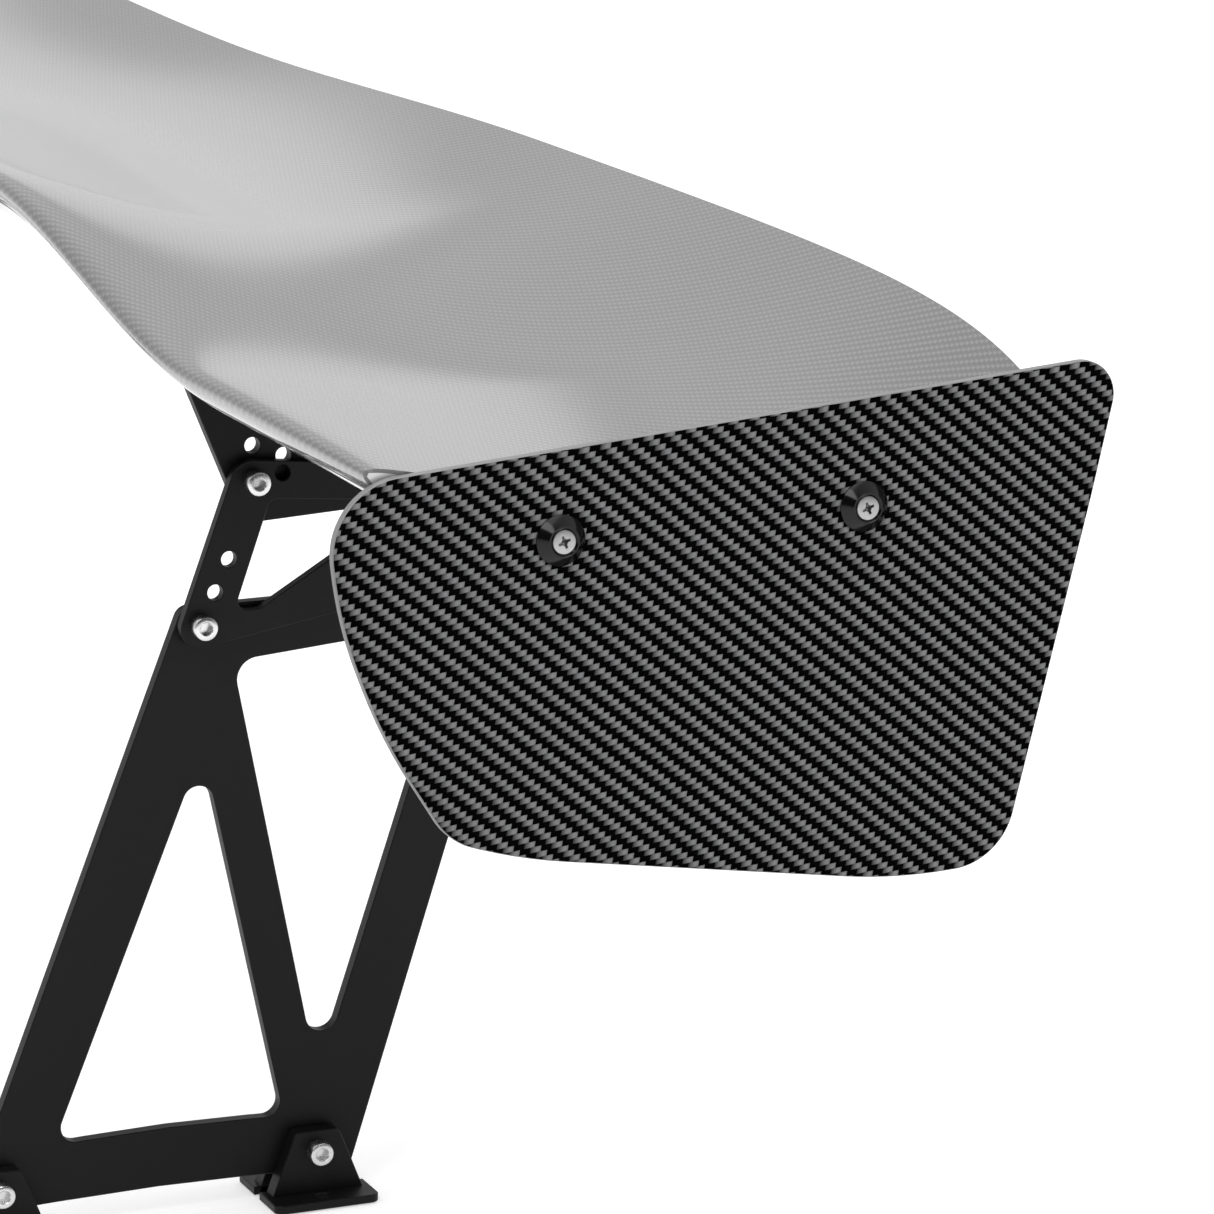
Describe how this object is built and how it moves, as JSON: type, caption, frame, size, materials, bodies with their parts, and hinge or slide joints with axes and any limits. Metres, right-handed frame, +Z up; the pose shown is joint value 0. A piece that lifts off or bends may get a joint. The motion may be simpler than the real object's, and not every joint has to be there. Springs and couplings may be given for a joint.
{
  "type": "racing rear wing",
  "caption": "Carbon rear wing with curved-up centre span, end plates, two truss uprights with angle adjusters and swivelling feet.",
  "frame": {"origin": "centre of the whole object in X and Y, on the plane that the feet stand on", "axes": "+X across the car to the left tip, +Y to the rear, +Z up"},
  "size_m": [1.7084, 0.3354, 0.4224],
  "materials": {
    "carbon_skin": "clear-coated twill carbon fibre",
    "carbon_plate": "satin-gloss 2x2 twill carbon fibre sheet",
    "black_alloy": "satin black anodised aluminium plate",
    "bare_alloy": "machined",
    "steel": "stainless steel hardware",
    "black_washer": "gloss black anodised"
  },
  "bodies": {
    "stand": {"lower_upright_left": "black_alloy", "upper_plate_left": "black_alloy", "pivot_bolt_left": "steel", "pivot_nut_left": "steel", "clamp_bolt_front_left": "steel", "clamp_nut_front_left": "steel", "clamp_bolt_rear_left": "steel", "clamp_nut_rear_left": "steel", "lower_upright_right": "black_alloy", "upper_plate_right": "black_alloy", "pivot_bolt_right": "steel", "pivot_nut_right": "steel", "clamp_bolt_front_right": "steel", "clamp_nut_front_right": "steel", "clamp_bolt_rear_right": "steel", "clamp_nut_rear_right": "steel"},
    "wing": {"airfoil_upper_skin": "carbon_skin", "airfoil_lower_skin": "carbon_skin", "front_spar": "carbon_plate", "rear_spar": "carbon_plate", "tip_rib_left": "bare_alloy", "mount_rib_left": "bare_alloy", "end_plate_left": "carbon_plate", "cup_washer_front_left": "black_washer", "end_plate_screw_front_left": "steel", "cup_washer_rear_left": "black_washer", "end_plate_screw_rear_left": "steel", "wing_bracket_left": "black_alloy", "lock_bolt_left": "steel", "lock_nut_left": "steel", "tip_rib_right": "bare_alloy", "mount_rib_right": "bare_alloy", "end_plate_right": "carbon_plate", "cup_washer_front_right": "black_washer", "end_plate_screw_front_right": "steel", "cup_washer_rear_right": "black_washer", "end_plate_screw_rear_right": "steel", "wing_bracket_right": "black_alloy", "lock_bolt_right": "steel", "lock_nut_right": "steel"},
    "foot_front_left": {"foot_outer_front_left": "black_alloy", "foot_inner_front_left": "black_alloy", "foot_bolt_front_left": "steel", "foot_nut_front_left": "steel"},
    "foot_rear_left": {"foot_outer_rear_left": "black_alloy", "foot_inner_rear_left": "black_alloy", "foot_bolt_rear_left": "steel", "foot_nut_rear_left": "steel"},
    "foot_front_right": {"foot_outer_front_right": "black_alloy", "foot_inner_front_right": "black_alloy", "foot_bolt_front_right": "steel", "foot_nut_front_right": "steel"},
    "foot_rear_right": {"foot_outer_rear_right": "black_alloy", "foot_inner_rear_right": "black_alloy", "foot_bolt_rear_right": "steel", "foot_nut_rear_right": "steel"}
  },
  "joints": [
    {"name": "angle_of_attack", "type": "hinge", "parent": "stand", "child": "wing", "pos_m": [0, -0.0318, 0.303], "axis": [1, 0, 0], "range_deg": [-5, 7]},
    {"name": "foot_swivel_front_left", "type": "hinge", "parent": "stand", "child": "foot_front_left", "pos_m": [0.5027, -0.1448, 0.021], "axis": [1, 0, 0], "range_deg": [-10, 10]},
    {"name": "foot_swivel_front_right", "type": "hinge", "parent": "stand", "child": "foot_front_right", "pos_m": [-0.5027, -0.1448, 0.021], "axis": [1, 0, 0], "range_deg": [-10, 10]},
    {"name": "foot_swivel_rear_left", "type": "hinge", "parent": "stand", "child": "foot_rear_left", "pos_m": [0.5027, -0.0089, 0.021], "axis": [1, 0, 0], "range_deg": [-10, 10]},
    {"name": "foot_swivel_rear_right", "type": "hinge", "parent": "stand", "child": "foot_rear_right", "pos_m": [-0.5027, -0.0089, 0.021], "axis": [1, 0, 0], "range_deg": [-10, 10]}
  ]
}
